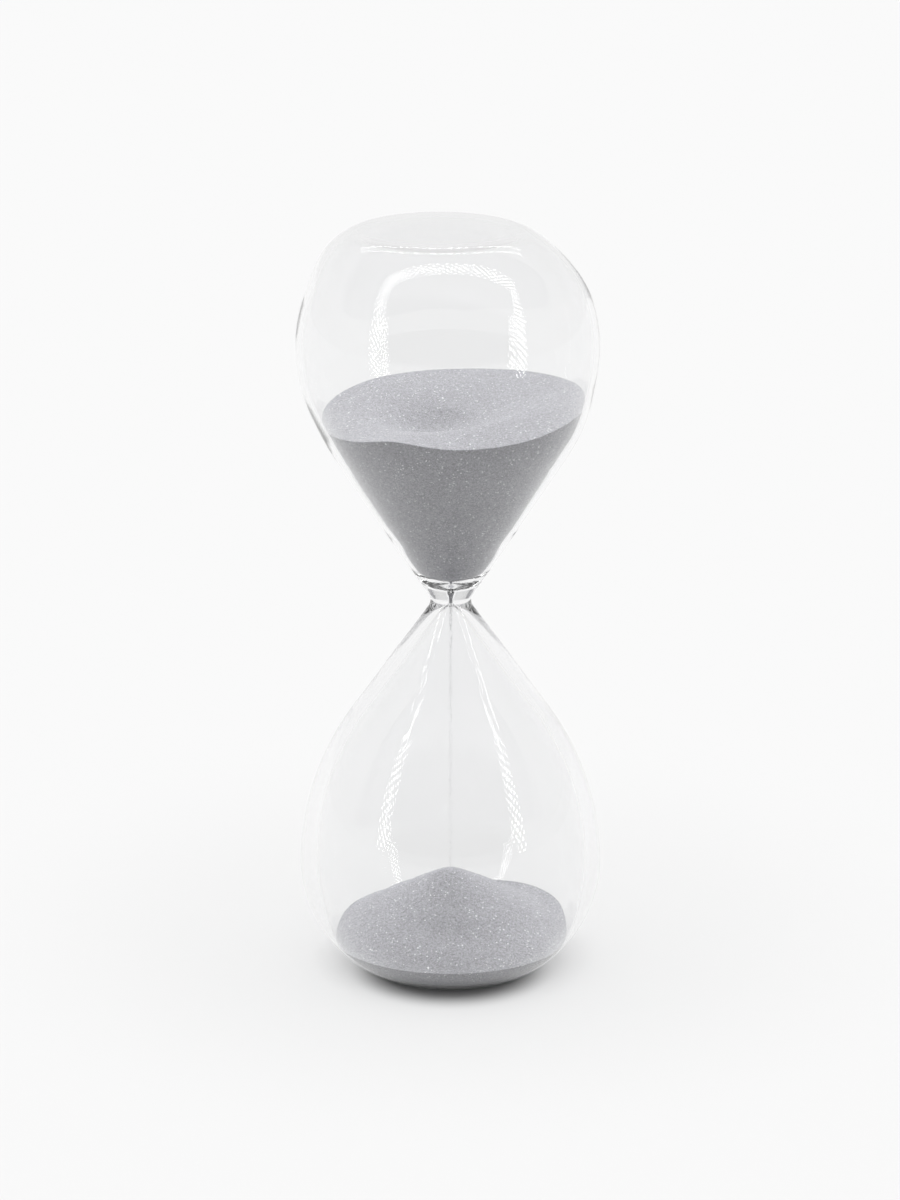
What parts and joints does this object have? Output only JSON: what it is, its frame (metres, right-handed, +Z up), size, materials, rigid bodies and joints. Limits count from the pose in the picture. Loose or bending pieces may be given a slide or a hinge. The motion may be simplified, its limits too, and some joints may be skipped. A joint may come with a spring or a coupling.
{
  "type": "hourglass",
  "caption": "Free-standing sand timer of clear glass: two flat-ended teardrop bulbs on a thick metering neck, with fine grey sand part way through a run.",
  "frame": {"origin": "centre of the flat face that it stands on", "axes": "+Z up along the axis of both bulbs; it is the same all round, so +X and +Y are any two level directions"},
  "size_m": [0.086, 0.086, 0.218],
  "materials": {
    "clear_glass": "clear polished borosilicate glass",
    "grey_sand": "dry fine grey sand with a slight sparkle"
  },
  "bodies": {
    "glass": {"upper_bulb": "clear_glass", "neck": "clear_glass", "lower_bulb": "clear_glass", "fill_seal": "clear_glass", "sand_stream": "grey_sand"},
    "upper_sand": {"upper_sand": "grey_sand"},
    "lower_sand": {"lower_sand": "grey_sand"}
  },
  "joints": [
    {"name": "upper_sand_level", "type": "slide", "parent": "glass", "child": "upper_sand", "axis": [0, 0, 1], "range_m": [-0.042, 0], "deforming": ["upper_sand"]},
    {"name": "lower_sand_level", "type": "slide", "parent": "glass", "child": "lower_sand", "axis": [0, 0, 1], "range_m": [0, 0.02184], "deforming": ["lower_sand", "sand_stream"]}
  ],
  "couplings": [
    {"joint": "lower_sand_level", "follows": "upper_sand_level", "ratio": -0.52}
  ]
}
